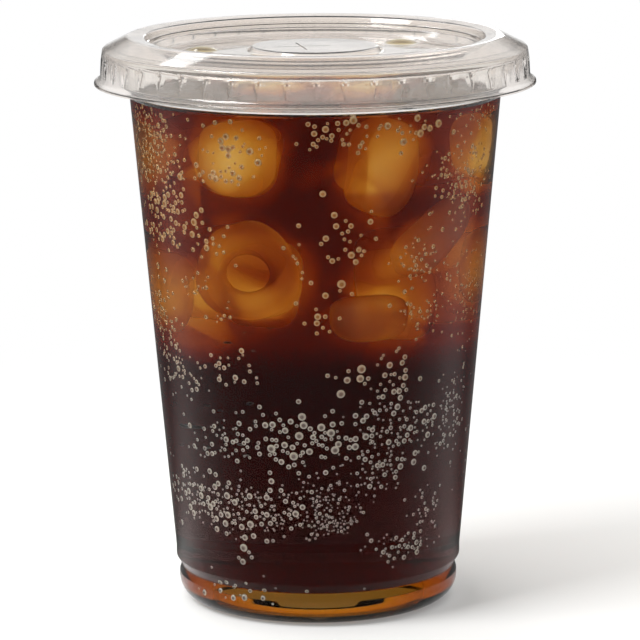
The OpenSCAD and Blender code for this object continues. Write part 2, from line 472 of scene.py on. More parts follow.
@dataclass(frozen=True)
class DarkDrink:
    """Cola: clear, and it swallows blue first, then green, so it goes from amber to red-brown to black with depth."""

    name: str
    red_per_mm: float
    green_to_red: float = 2.2
    blue_to_red: float = 5.5

    def material(self) -> bpy.types.Material:
        """Builds the material. The volume's colour is what it lets through, and blue is what it stops most.

        Returns:
            The material.
        """
        material, tree, _ = start_finish(self.name, {"Base Color": WHITE, "Transmission Weight": 1.0, "IOR": 1.0,
                                                     "Roughness": 0.0})
        strongest = self.red_per_mm * self.blue_to_red
        passed = (1 - 1 / self.blue_to_red, 1 - self.green_to_red / self.blue_to_red, 0.0, 1.0)
        depth = add_node(tree, "ShaderNodeVolumeAbsorption", {"Color": passed, "Density": strongest / MM})
        tree.links.new(depth.outputs["Volume"], tree.nodes["Material Output"].inputs["Volume"])
        return material


@dataclass(frozen=True)
class OpenSurface:
    """The top of the drink: it mirrors the lid at a low angle and bends the view into the drink."""

    name: str
    ior: float = 1.33

    def material(self) -> bpy.types.Material:
        """Builds the material and returns it."""
        return start_finish(self.name, {"Base Color": WHITE, "Transmission Weight": 1.0, "IOR": self.ior,
                                        "Roughness": 0.0})[0]


@dataclass(frozen=True)
class MeltingIce:
    """Melting ice: nearly clear in the drink, with a little cloud of trapped air, tinted with painted amber light of
    the drink, and a surface worn in dimples.
    """

    name: str
    clear_part: str = "#fffdf4"
    milky_part_painted_amber: str = "#f1d9a6"
    clearness: float = 0.97
    ior: float = 1.03
    roughness: float = 0.5
    cloud_mm: float = 13.0
    cloud_edge: tuple[float, float] = (0.4, 0.68)
    dimple_mm: float = 3.5
    dimple_height_mm: float = 0.25
    dimple_strength: float = 0.6

    def material(self) -> bpy.types.Material:
        """Builds the material.

        Returns:
            The material.
        """
        material, tree, shader = start_finish(self.name, {"Transmission Weight": self.clearness, "IOR": self.ior,
                                                          "Roughness": self.roughness})
        place = add_node(tree, "ShaderNodeTexCoord").outputs["Object"]
        cloud = add_node(tree, "ShaderNodeTexNoise", {"Vector": place, "Scale": 1 / (self.cloud_mm * MM),
                                                      "Detail": 3.0})
        milky = ramp(tree, cloud.outputs["Fac"], *self.cloud_edge)
        # The trapped air's cloud is real; its amber tint is painted light of the drink around the ice.
        tint = blend(tree, milky, linear(self.clear_part), linear(self.milky_part_painted_amber))
        tree.links.new(tint, shader.inputs["Base Color"])
        dimples = bumps(tree, self.dimple_mm, self.dimple_height_mm, strength=self.dimple_strength)
        tree.links.new(dimples, shader.inputs["Normal"])
        return material


@dataclass(frozen=True)
class GasBubble:
    """Gas bubbles on the wet wall: a painted reflection, a bright silvery rim, round a half-clear middle painted
    dimmer.
    """

    name: str
    # The rims are painted reflection and the middles are painted dimmer; up among the ice both take painted amber
    # light.
    rim: str = "#ffffff"
    middle: str = "#7f6f6d"
    painted_amber_rim: str = "#ffe0ae"
    painted_amber_middle: str = "#b8772c"
    painted_amber_above_mm: float = 58.0
    painted_amber_blend_mm: float = 8.0
    clearness: float = 0.35
    ior: float = 1.3
    roughness: float = 0.12
    rim_edge: tuple[float, float] = (0.25, 0.85)

    def material(self) -> bpy.types.Material:
        """Builds the material. The rim attribute is 0 at a bubble's middle and 1 at its edge.

        Bubbles up among the ice are painted with the amber light of the ice, and those in the dark drink under it
        stay grey; the rim is painted bright as a reflection and the middle dimmer.

        Returns:
            The material.
        """
        material, tree, shader = start_finish(self.name, {
            "Roughness": self.roughness, "Transmission Weight": self.clearness, "IOR": self.ior})
        rim = add_node(tree, "ShaderNodeAttribute", attribute_name="rim").outputs["Fac"]
        spread = ramp(tree, rim, *self.rim_edge)
        place = add_node(tree, "ShaderNodeTexCoord").outputs["Object"]
        height = add_node(tree, "ShaderNodeSeparateXYZ", {0: place}).outputs["Z"]
        warm = ramp(tree, height, (self.painted_amber_above_mm - self.painted_amber_blend_mm) * MM,
                    (self.painted_amber_above_mm + self.painted_amber_blend_mm) * MM, easing="LINEAR")
        # Painted reflection: a bright rim round a dimmer middle, grey in the dark drink and painted amber up among
        # the ice.
        cool = blend(tree, spread, linear(self.middle), linear(self.rim))
        amber = blend(tree, spread, linear(self.painted_amber_middle), linear(self.painted_amber_rim))
        tree.links.new(blend(tree, warm, cool, amber), shader.inputs["Base Color"])
        return material


@dataclass
class Cup:
    """The clear cup: one turned sheet with a rolled rim, a step under it, a stacking groove and a ring foot.

    Sizes are in millimetres, slopes are run for rise, and the roll ends at curl_end degrees.
    """

    height: float = 124.5
    rim_r: float = 46.0
    roll_r: float = 1.3
    wall: float = 0.45
    wall_top_r: float = 41.1
    wall_foot_r: float = 31.7
    neck_r: float = 43.0
    neck_drop: float = 10.0
    step_h: float = 1.8
    foot_r: float = 31.25
    foot_corner_r: float = 4.6
    groove_z: float = 7.6
    groove_depth: float = 0.55
    groove_w: float = 3.6
    shoulder_h: float = 4.0
    shoulder_bulge: float = 0.25
    stand_w: float = 2.0
    base_rise: float = 6.6
    base_slope: float = 0.4
    base_corner_r: float = 1.5
    wall_corner_r: float = 1.0
    groove_corner_r: float = 0.5
    fill_z: float = 113.6
    curl_steps: int = 22
    curl_end: float = -70.0
    steps: int = 288
    longest_stretch: float = 4.0
    finish: ClearSheet = ClearSheet("clear_pet_cup_dry", ior=1.42, shine=0.2)
    wet_finish: WetFace = WetFace("clear_pet_cup_wetted")

    def rim_centre(self) -> Point:
        """Centre of the rolled rim in section."""
        return (self.rim_r - self.roll_r, self.height - self.roll_r)

    def body_line(self) -> Line:
        """Outside of the cup in section, from the middle of the base to where the rim begins to roll.

        Returns:
            The line's points.
        """
        stand_r = self.foot_r - self.foot_corner_r - self.stand_w
        shoulder_r = self.wall_foot_r + self.shoulder_bulge
        step_z = self.height - self.neck_drop
        centre = self.rim_centre()
        return rounded([
            (0, self.base_rise, 0),
            (stand_r - self.base_rise * self.base_slope, self.base_rise, self.base_corner_r),
            (stand_r, 0, self.wall_corner_r),
            (self.foot_r, 0, self.foot_corner_r),
            (self.foot_r, self.groove_z - self.groove_w / 2, self.wall_corner_r),
            (self.foot_r - self.groove_depth, self.groove_z, self.groove_corner_r),
            (shoulder_r, self.groove_z + self.shoulder_h / 2, self.wall_corner_r),
            (shoulder_r, self.groove_z + self.shoulder_h, 0),
            (self.wall_top_r, step_z, self.wall_corner_r),
            (self.neck_r, step_z + self.step_h, self.wall_corner_r),
            (centre[0] - self.roll_r + self.wall, centre[1], 0),
        ])

    def rim_line(self) -> Line:
        """The outward roll of the rim, after the wall's last point.

        Returns:
            The line's points.
        """
        centre = self.rim_centre()
        angles = np.radians(np.linspace(180, self.curl_end, self.curl_steps + 1)[1:])
        reach = self.roll_r - self.wall
        return [(centre[0] + reach * math.cos(a), centre[1] + reach * math.sin(a)) for a in angles]

    def inside_line(self, depth: float) -> Line:
        """The cup's inside in section, from the middle of the base to where the rim begins to roll.

        Args:
            depth: How deep in the sheet the line runs, from its inner face.

        Returns:
            The line's points.
        """
        body = self.body_line()
        inside = inset(body + self.rim_line(), self.wall - depth)[:len(body)]
        return [(0.0, inside[0][1]), *inside[1:]]

    def bore_r(self, height: float) -> float:
        """Inner radius of the straight wall.

        Args:
            height: Height above the surface that the cup stands on.

        Returns:
            The radius there.
        """
        low, high = self.groove_z + self.shoulder_h, self.height - self.neck_drop
        low_r = self.wall_foot_r + self.shoulder_bulge
        return low_r + (self.wall_top_r - low_r) * (height - low) / (high - low) - self.wall

    def section(self) -> tuple[Line, list[bool]]:
        """The closed section, from the axis round the rim and back.

        Returns:
            The points, and for each stretch between two points whether the drink wets it.
        """
        whole = self.body_line() + self.rim_line()
        outside = divided(whole, self.longest_stretch)
        inside = cut_at(divided(inset(whole, self.wall), self.longest_stretch), self.fill_z)[::-1]
        line = outside + inside
        wet = [k >= len(outside) and max(line[k][1], line[k + 1][1]) <= self.fill_z + TOUCH
               for k in range(len(line) - 1)]
        return line, wet

    @cached_property
    def inner_wall(self) -> np.ndarray:
        """Radius and height of points up the inside of the wall, from the lowest, without the raised base."""
        line = [p for p in self.inside_line(0.0) if p[0] > self.foot_r - 3 or p[1] > self.base_rise + 1]
        return np.array(sorted(line, key=lambda p: p[1]))

    def wall_point(self, bearing: float, height: float, depth: float) -> tuple[Vector, Vector]:
        """A point on the inside of the wall.

        Args:
            bearing: Degrees to the right of the front.
            height: Height above the surface that the cup stands on.
            depth: Distance inwards from the wall's inner face.

        Returns:
            The point in millimetres and the wall's outward direction there.
        """
        radius = float(np.interp(height, self.inner_wall[:, 1], self.inner_wall[:, 0])) - depth
        lean = math.atan2(self.wall_top_r - self.wall_foot_r, self.height - self.neck_drop - self.groove_z)
        turn = math.radians(bearing)
        out = Vector((math.sin(turn) * math.cos(lean), -math.cos(turn) * math.cos(lean), -math.sin(lean)))
        return Vector((math.sin(turn) * radius, -math.cos(turn) * radius, height)), out

    def build(self) -> None:
        """Builds, dresses and hands over the cup."""
        line, wet = self.section()
        piece = mesh_object("cup_clear", *revolved(line, self.steps))
        piece.data.materials.append(self.finish.material())
        piece.data.materials.append(self.wet_finish.material())
        for polygon in piece.data.polygons:
            polygon.material_index = int(wet[polygon.index // self.steps])
        finish_piece(piece, Body.CUP, ("cup",))


@dataclass
class Lid:
    """The pressed-on lid: one film with a turned lip, a fluted skirt, a sloping crown and a stepped recess.

    Sizes are in millimetres and bearings in degrees. Each of button_places is a share of the ring's radius and a
    bearing, and each of recess_steps is a share of the recess's run and of its rise.
    """

    film: float = 0.4
    collar_over: float = 0.9
    skirt_over: float = 1.25
    skirt_flare: float = 0.25
    lip_reach: float = 1.3
    lip_h: float = 0.5
    flare_h: float = 0.7
    skirt_drop: float = 7.7
    crown_slope: float = 27.0
    crest_r: float = 41.2
    recess_r: float = 37.6
    crest_fall: float = 0.45
    recess_depth: float = 3.8
    recess_run: float = 3.2
    crest_corner_r: float = 2.5
    soft_corner_r: float = 0.7
    crisp_corner_r: float = 0.3
    boss_r: float = 14.4
    boss_rise: float = 1.2
    flute_count: int = 48
    flute_w: float = 2.4
    flute_room: float = 0.15
    flute_h: float = 3.6
    flute_marks: tuple[float, ...] = (-1, -0.5, 0, 0.5, 1)
    flute_tip: float = 0.12
    steps_between: int = 3
    ring_stretch: float = 0.75
    skirt_stretch: float = 0.8
    longest_stretch: float = 3.0
    slot_l: float = 13.0
    slot_w: float = 0.35
    slot_h: float = 2.0
    slot_centre: Point = (-3.0, -2.0)
    slot_bearings: tuple[float, float] = (11.0, 101.0)
    button_r: float = 3.8
    button_rise: float = 1.0
    button_edge: float = 0.2
    button_places: tuple[Point, Point] = ((0.95, 34.0), (1.03, 177.0))
    recess_steps: tuple[Point, ...] = ((0.47, 0.34), (0.69, 0.37), (0.75, 0.57), (0.87, 0.63))
    seat_gap: float = 0.05
    catch_gap: float = 0.1
    finish: ClearSheet = ClearSheet("clear_pet_lid", tint="#f3ede8", ior=1.55, roughness=0.075, wave_height_mm=0.04)
    stain: str = "#c3b183"

    def fit(self, cup: Cup) -> None:
        """Works out the heights that follow from the rim that the lid sits on.

        Args:
            cup: The cup under the lid.
        """
        centre = cup.rim_centre()
        slope = math.radians(self.crown_slope)
        self.collar_r = cup.rim_r + self.collar_over
        self.skirt_top_r = cup.rim_r + self.skirt_over
        self.skirt_bottom_r = self.skirt_top_r + self.skirt_flare
        self.lip_r = self.skirt_bottom_r + self.lip_reach
        rest = cup.roll_r + self.film + self.seat_gap
        self.collar_z = centre[1] + (rest - (self.collar_r - centre[0]) * math.sin(slope)) / math.cos(slope)
        self.crest_z = self.collar_z + (self.collar_r - self.crest_r) * math.tan(slope)
        self.plate_z = self.crest_z - self.recess_depth
        self.lip_z = self.collar_z - self.skirt_drop
        self.flute_top = cup.height - 2 * cup.roll_r - self.catch_gap
        self.flute_bottom = self.flute_top - self.flute_h
        self.flute_depth = self.skirt_over - self.film - self.flute_room
        self.plate_r = self.recess_r - self.recess_run

    def top_line(self) -> Line:
        """Top of the lid in section, from the middle to the edge of the lip.

        Returns:
            The line's points.
        """
        rise = self.recess_depth - self.crest_fall
        steps = [(self.plate_r + run * self.recess_run, self.plate_z + share * rise, self.crisp_corner_r)
                 for run, share in self.recess_steps]
        return rounded([
            (0, self.plate_z + self.boss_rise, 0),
            (self.boss_r - self.film, self.plate_z + self.boss_rise, self.soft_corner_r),
            (self.boss_r + self.film, self.plate_z, self.soft_corner_r),
            (self.plate_r, self.plate_z, self.soft_corner_r),
            *steps,
            (self.recess_r, self.crest_z - self.crest_fall, self.soft_corner_r),
            (self.crest_r, self.crest_z, self.crest_corner_r),
            (self.collar_r, self.collar_z, self.soft_corner_r),
            (self.skirt_top_r, self.flute_top, 0),
            (self.skirt_bottom_r, self.lip_z + self.lip_h + self.flare_h, 2 * self.soft_corner_r),
            (self.lip_r, self.lip_z + self.lip_h, self.crisp_corner_r),
            (self.lip_r, self.lip_z, 0),
        ])

    def grid(self) -> np.ndarray:
        """Rings of points over the lid's top and back along its underside, flutes and buttons included.

        Returns:
            The points as an array of ring, step and x, y, z.
        """
        top = self.top_line()
        line = []
        for side in (top, inset(top, -self.film)):
            fine = divided(side, self.ring_stretch, self.boss_r, self.plate_r)
            fine = divided(fine, self.skirt_stretch, self.collar_r - 0.2)
            line.append(divided(fine, self.longest_stretch))
        thickness = [0.0] * len(line[0]) + [self.film] * len(line[1])
        points = np.array(line[0] + line[1][::-1])
        pitch = 2 * math.pi / self.flute_count
        half = self.flute_w / 2 / self.skirt_top_r
        marks = np.array(self.flute_marks)
        rings = []
        for (radius, height), t in zip(points, thickness):
            share = (height - self.flute_bottom) / (self.flute_top - self.flute_bottom)
            on_skirt = radius > self.skirt_top_r - self.film - 0.1
            width = half * float(np.clip(share, self.flute_tip, 1)) if on_skirt else half
            own = np.concatenate([marks * width, np.linspace(width, pitch - width, self.steps_between + 2)[1:-1]])
            turns = (np.arange(self.flute_count)[:, None] * pitch + own[None, :]).ravel()
            dent = np.zeros(len(own))
            if on_skirt and 0 < share <= 1.001:
                dent[:len(marks)] = (1 - np.abs(marks)) * self.flute_depth * share
            dents = np.tile(dent, self.flute_count)
            x, y = (radius - dents) * np.cos(turns), (radius - dents) * np.sin(turns)
            z = np.full(len(turns), height)
            if self.boss_r < radius < self.plate_r:
                z = np.maximum(z, self.button_heights(x, y, t))
            rings.append(np.stack([x, y, z], axis=1))
        return np.array(rings)

    def button_centres(self) -> list[Point]:
        """The middles of the two press-down buttons.

        Returns:
            Their places across and along the lid.
        """
        ring_r = (self.boss_r + self.plate_r) / 2
        turns = [(share * ring_r, math.radians(bearing)) for share, bearing in self.button_places]
        return [(away * math.cos(turn), away * math.sin(turn)) for away, turn in turns]

    def button_heights(self, x: np.ndarray, y: np.ndarray, t: float) -> np.ndarray:
        """Height of the domed buttons' surface.

        Args:
            x: Places across the lid.
            y: Places along the lid.
            t: How far the surface lies under the button's top side.

        Returns:
            The heights, or a low number off the buttons.
        """
        dome_r = (self.button_r ** 2 + self.button_rise ** 2) / (2 * self.button_rise)
        heights = np.full(len(x), -1e3)
        for across, along in self.button_centres():
            away = np.hypot(x - across, y - along)
            dome = np.sqrt(np.maximum((dome_r - t) ** 2 - away ** 2, 0)) + self.plate_z + self.button_rise - dome_r
            heights = np.where(away < self.button_r, np.maximum(heights, dome), heights)
        return heights

    def stain_buttons(self, material: bpy.types.Material) -> None:
        """Tints the film where drink has dried under the two buttons.

        Args:
            material: The lid's material.
        """
        tree = material.node_tree
        place = add_node(tree, "ShaderNodeTexCoord").outputs["Object"]
        top = self.plate_z + self.button_rise
        aways = [add_node(tree, "ShaderNodeVectorMath", {0: place, 1: (across * MM, along * MM, top * MM)},
                          operation="DISTANCE").outputs["Value"] for across, along in self.button_centres()]
        inside = ramp(tree, maths(tree, "MINIMUM", *aways), (self.button_r - self.button_edge) * MM,
                      (self.button_r + self.button_edge) * MM, 1.0, 0.0, "LINEAR")
        tree.links.new(blend(tree, inside, linear(self.finish.tint), linear(self.stain)),
                       tree.nodes["Principled BSDF"].inputs["Base Color"])

    def cut_slots(self, piece: bpy.types.Object) -> None:
        """Cuts the two crossed straw slits through the raised disc.

        Args:
            piece: The lid's object.
        """
        for bearing in self.slot_bearings:
            work = bmesh.new()
            bmesh.ops.create_cube(work, size=1.0)
            place = Matrix.Translation((*self.slot_centre, self.plate_z + self.boss_rise))
            turn = Matrix.Rotation(math.radians(bearing), 4, "Z")
            size = Matrix.Diagonal((self.slot_l, self.slot_w, self.slot_h, 1.0))
            bmesh.ops.transform(work, matrix=Matrix.Scale(MM, 4) @ place @ turn @ size, verts=work.verts)
            mesh = bpy.data.meshes.new("slit")
            work.to_mesh(mesh)
            work.free()
            cut_away(piece, put_in_scene("slit", mesh))

    def build(self, cup: Cup) -> None:
        """Builds, dresses and hands over the lid.

        Args:
            cup: The cup under the lid.
        """
        self.fit(cup)
        piece = mesh_object("lid_clear", *wrapped(self.grid()))
        self.cut_slots(piece)
        piece.data.materials.clear()
        material = self.finish.material()
        self.stain_buttons(material)
        piece.data.materials.append(material)
        finish_piece(piece, Body.LID, ("lid",))


class IceForm(Enum):
    """The two forms of ice in the cup."""

    BLOCK = "block"
    TUBE = "tube"


@dataclass(frozen=True)
class IcePiece:
    """One loose piece of ice: its node, form, size, centre and turn, in millimetres and degrees."""

    node: str
    form: IceForm
    size: Triple
    centre: Triple
    turn: Triple


@dataclass
class Ice:
    """The ice: worn blocks and one tube, each a little smaller than the room that the drink leaves for it.

    Attributes:
        cup: The cup that the ice floats in.
        share: Length of a piece's edge of 1 as a share of the rim's width.
        film: Gap between a piece and the solid that it stands for.
        melt: Thickness of the clear meltwater round each piece.
        melt_squareness: How square the rooms of meltwater are; 2 is round.
        bore_r: Radius of the tube's hole.
        squareness: How square the ice itself is.
        wear: Share of a piece's size that melting has taken at most.
        wear_mm: Width of the hollows that melting leaves.
        flow: How far the meltwater has drifted off at most.
        flow_mm: Width of the drifts of meltwater.
        flow_shifts: Where the drift along X, Y and Z is read, so that the three differ.
        block_rings: Rings of a block's mesh.
        block_steps: Steps round a block's mesh.
        tube_around: Steps round the tube's section.
        tube_steps: Steps round the tube.
        finish: The look of the ice.
        plumes: Meltwater left by pieces that are gone: size, turn and centre of each.
        table: The pieces: node, form, size, turn and place, as shares that follow the cup.
    """

    cup: Cup
    share: float = 0.292
    film: float = 0.12
    melt: float = 2.6
    melt_squareness: float = 2.2
    bore_r: float = 5.0
    squareness: float = 3.0
    wear: float = 0.3
    wear_mm: float = 12.0
    flow: float = 6.0
    flow_mm: float = 14.0
    flow_shifts: tuple[Triple, ...] = ((9.3, -1.5, -8.0), (0.0, 0.0, 0.0), (6.3, 0.2, -2.7))
    block_rings: int = 33
    block_steps: int = 56
    tube_around: int = 40
    tube_steps: int = 72
    finish: MeltingIce = MeltingIce("melting_ice")
    plumes: tuple[tuple, ...] = (
        ((15, 30, 12), (0, 32, 0), (7.5, -12, 90)),
        ((9, 24, 6), (0, -25, 0), (-0.5, -12, 97)),
        ((17, 28, 9), (0, -16, 0), (14, -14, 61.5)),
        ((14, 26, 11), (0, 15, 0), (-23, -8, 62)),
        ((10, 26, 16), (0, 24, 0), (-25, -14, 92)),
        ((12, 16, 22), (0, 20, 8), (15.5, -31, 104)),
        ((18, 20, 11), (0, -34, 50), (21, -21, 82)),
    )
    table: tuple[tuple, ...] = (
        ("ice_01", IceForm.BLOCK, (0.75, 0.83, 0.83), (4, -6, -24), (-0.38, -0.59, 0.4)),
        ("ice_02", IceForm.TUBE, (1.04, 1.04, 0.67), (80, 0, -8), (-0.34, -0.52, 1.48)),
        ("ice_03", IceForm.BLOCK, (0.63, 0.75, 1.04), (0, 13, 22), (0.33, -0.59, 0.5)),
        ("ice_04", IceForm.BLOCK, (1.04, 0.56, 0.46), (0, -34, 50), (0.59, -0.46, 1.17)),
        ("ice_05", IceForm.BLOCK, (0.75, 0.63, 0.5), (0, 4, 20), (0.27, -0.66, 1.87)),
        ("ice_06", IceForm.BLOCK, (0.71, 0.83, 1.08), (4, 0, 8), (-0.3, 0.53, 1.65)),
        ("ice_07", IceForm.BLOCK, (0.46, 0.58, 0.67), (0, 6, 70), (0.75, -0.21, 0.38)),
        ("ice_08", IceForm.BLOCK, (0.67, 0.92, 0.83), (-4, 4, 10), (-0.29, 0.53, 0.44)),
        ("ice_09", IceForm.BLOCK, (0.71, 0.83, 1.08), (0, -4, -10), (0.34, 0.52, 1.69)),
        ("ice_10", IceForm.BLOCK, (0.63, 0.75, 0.88), (0, 6, 8), (-0.29, -0.05, 0.46)),
        ("ice_11", IceForm.BLOCK, (0.63, 0.71, 1.04), (4, -4, 10), (0.35, -0.08, 1.77)),
        ("ice_12", IceForm.BLOCK, (0.5, 0.83, 0.92), (4, 6, -4), (-0.68, 0.06, 1.77)),
        ("ice_13", IceForm.BLOCK, (0.63, 0.92, 0.88), (-4, 0, -6), (0.28, 0.56, 0.46)),
        ("ice_14", IceForm.BLOCK, (0.58, 0.79, 0.83), (0, 4, 18), (0.72, 0.24, 0.5)),
        ("ice_15", IceForm.BLOCK, (0.63, 0.67, 1), (0, 4, 6), (-0.23, -0.04, 1.65)),
        ("ice_16", IceForm.BLOCK, (0.5, 0.83, 0.83), (0, -6, -10), (-0.72, 0.13, 0.57)),
        ("ice_17", IceForm.BLOCK, (0.58, 0.71, 0.83), (0, 10, 10), (0.24, 0, 0.46)),
        ("ice_18", IceForm.BLOCK, (0.5, 0.75, 0.83), (6, 0, 12), (0.75, 0.09, 1.57)),
    )

    def pieces(self) -> list[IcePiece]:
        """Turns the table's rows into millimetres, placed by the wall's inner radius and the level of the drink.

        Returns:
            The pieces of ice.
        """
        edge = 2 * self.cup.wall_top_r * self.share
        rows = []
        for node, form, size, turn, (across, along, depth) in self.table:
            height = self.cup.fill_z - depth * edge
            bore_r = self.cup.bore_r(height)
            size_mm = tuple(s * edge for s in size)
            rows.append(IcePiece(node, form, size_mm, (across * bore_r, along * bore_r, height), turn))
        return rows

    def block(self, size: Triple, gap: float) -> Shell:
        """A rounded block round the origin.

        Args:
            size: Its width, depth and height.
            gap: How far its surface lies inside that size.

        Returns:
            Its corners and faces.
        """
        low = np.linspace(-math.pi / 2, math.pi / 2, self.block_rings)
        turn = np.linspace(0, 2 * math.pi, self.block_steps, endpoint=False)
        across = np.cos(low)[:, None] * np.stack([np.cos(turn), np.sin(turn)])[:, None, :]
        ball = np.stack([*across, np.repeat(np.sin(low)[:, None], self.block_steps, axis=1)], axis=2)
        power = self.squareness if gap > 0 else self.melt_squareness
        length = np.sum(np.abs(ball) ** power, axis=2) ** (-1 / power)
        half = np.array(size) / 2 - gap
        return wrapped(ball * length[:, :, None] * half)

    def tube(self, size: Triple, gap: float) -> Shell:
        """A ring-shaped piece round the origin, with its hole along Z.

        Args:
            size: Its outside diameter twice, and its height.
            gap: How far its surface lies inside that size.

        Returns:
            Its corners and faces.
        """
        outer = size[0] / 2 - gap
        inner = self.bore_r + max(gap, 0.0)
        angle = np.linspace(0, 2 * math.pi, self.tube_around, endpoint=False)
        power = 2 / self.squareness
        wide = np.sign(np.cos(angle)) * np.abs(np.cos(angle)) ** power
        tall = np.sign(np.sin(angle)) * np.abs(np.sin(angle)) ** power
        radius = (outer + inner) / 2 + wide * (outer - inner) / 2
        height = tall * (size[2] / 2 - gap)
        turn = np.linspace(0, 2 * math.pi, self.tube_steps, endpoint=False)
        corners = np.stack([radius[:, None] * np.cos(turn), radius[:, None] * np.sin(turn),
                            np.repeat(height[:, None], self.tube_steps, axis=1)], axis=2).reshape(-1, 3)
        number = np.arange(len(corners)).reshape(self.tube_around, self.tube_steps)
        ahead, beside = np.roll(number, -1, axis=0), np.roll(number, -1, axis=1)
        quads = np.stack([number, ahead, np.roll(ahead, -1, axis=1), beside], axis=2).reshape(-1, 4)
        return corners, [tuple(quad) for quad in quads.tolist()]

    def shell(self, piece: IcePiece, gap: float) -> Shell:
        """A piece's worn surface in its place in the cup.

        Args:
            piece: The piece of ice.
            gap: How far its surface lies inside its size.

        Returns:
            Its corners and faces.
        """
        shape = self.tube if piece.form is IceForm.TUBE else self.block
        corners, faces = shape(piece.size, gap)
        start = Vector(piece.centre)
        worn = [1 - self.wear * (0.5 + 0.5 * noise.noise((Vector(c) + start) / self.wear_mm)) for c in corners]
        turn = np.array(Euler([math.radians(a) for a in piece.turn], "XYZ").to_matrix())
        return (corners * np.array(worn)[:, None]) @ turn.T + np.array(piece.centre), faces

    def cut_rooms(self, drink: bpy.types.Object, melt: float) -> None:
        """Cuts the room for each piece of ice out of a part of the drink.

        Meltwater round the ice drifts off, so its rooms are bent, and pieces that are gone have left rooms too.

        Args:
            drink: The part of the drink.
            melt: How thick the clear meltwater round each piece is, or 0 for the ice alone.
        """
        rooms = [self.shell(piece, -melt) for piece in self.pieces()]
        if melt > 0:
            rooms += [self.shell(IcePiece(f"plume_{number}", IceForm.BLOCK, size, centre, turn), 0.0)
                      for number, (size, turn, centre) in enumerate(self.plumes)]
        for corners, faces in rooms:
            if melt > 0:
                flow = np.array([[noise.noise(Vector(c) / self.flow_mm + Vector(shift)) for shift in self.flow_shifts]
                                 for c in corners])
                corners = corners + self.flow * flow
            cut_away(drink, mesh_object("ice_room", corners, faces))

    def build(self) -> None:
        """Builds, dresses and hands over each piece of ice."""
        material = self.finish.material()
        for piece in self.pieces():
            thing = mesh_object(f"{piece.node}_melted", *self.shell(piece, self.film))
            thing.data.materials.append(material)
            finish_piece(thing, Body.CUP, (piece.node,))


@dataclass
class Drink:
    """The cola: thinned by meltwater round the ice, full strength under it, with a curved edge at the wall.

    Attributes:
        cup: The cup that it fills.
        ice: The ice in it.
        melt_z: Height at which the thinned drink begins.
        sunk: How far it lies in the wetted side of the sheet, so that no gap shows.
        joint: How far two of its parts overlap.
        skin: Thickness of the surface's own disc.
        climb: How far the surface climbs the wall.
        climb_reach: How far from the wall the climb begins.
        climb_steps: Steps of that curve.
        steps: Steps round the cup.
        upward: The least upward slant of a face that is open to the air.
        thinned: The look of the thinned drink.
        full: The look of the drink at full strength.
        surface: The look of its surface.
        hidden: The look of the skin's faces inside the drink.
    """

    cup: Cup
    ice: Ice
    melt_z: float = 56.0
    sunk: float = 0.06
    joint: float = 0.02
    skin: float = 0.5
    climb: float = 0.9
    climb_reach: float = 2.4
    climb_steps: int = 8
    steps: int = 192
    upward: float = 0.3
    thinned: DarkDrink = DarkDrink("cola_thinned_by_meltwater", red_per_mm=0.042)
    full: DarkDrink = DarkDrink("cola_full_strength", red_per_mm=0.07)
    surface: OpenSurface = OpenSurface("cola_surface")
    hidden: WetFace = WetFace("cola_inner_side")

    def part(self, name: str, line: Line, finish: DarkDrink) -> bpy.types.Object:
        """One turned part of the drink.

        Args:
            name: The part's name.
            line: Its section, from axis to axis.
            finish: Its finish.

        Returns:
            The new object.
        """
        thing = mesh_object(name, *revolved(line, self.steps))
        thing.data.materials.append(finish.material())
        return thing

    def surface_line(self) -> Line:
        """Section of the drink's skin: flat underneath, and on top it climbs the wall in a curve.

        Returns:
            The line's points.
        """
        level = self.cup.fill_z
        wall_r = self.cup.bore_r(level) + self.sunk
        shares = [k / self.climb_steps for k in range(self.climb_steps + 1)]
        curve = [(wall_r - self.climb_reach * (1 - s), level + self.climb * s ** 3) for s in shares]
        return [(0, level - self.skin), (wall_r, level - self.skin), *curve[::-1], (0, level)]

    def build(self) -> None:
        """Builds, dresses and hands over the drink and its surface."""
        level = self.cup.fill_z - self.joint
        inside = cut_at(cut_at(self.cup.inside_line(self.sunk), self.melt_z), level)
        below = [p for p in inside if p[1] <= self.melt_z + TOUCH]
        above = [p for p in inside if self.melt_z - TOUCH <= p[1] <= level + TOUCH]
        lower = self.part("drink_full_strength", [*below, (0, self.melt_z)], self.full)
        upper = self.part("drink_thinned", [(0, self.melt_z - self.joint), *above, (0, level)], self.thinned)
        self.ice.cut_rooms(upper, self.ice.melt)
        skin = mesh_object("drink_surface", *revolved(self.surface_line(), self.steps))
        self.ice.cut_rooms(skin, 0.0)
        skin.data.materials.append(self.hidden.material())
        skin.data.materials.append(self.surface.material())
        for polygon in skin.data.polygons:
            polygon.material_index = int(polygon.normal[2] > self.upward)
        finish_piece(lower, Body.CUP, ("drink",))
        finish_piece(upper, Body.CUP)
        finish_piece(skin, Body.CUP)


@dataclass(frozen=True)
class Cluster:
    """A patch of bubbles on the wall: its middle, spreads, number and sizes, in degrees and millimetres."""

    bearing: float
    height: float
    wide: float
    tall: float
    count: int
    smallest: float
    largest: float


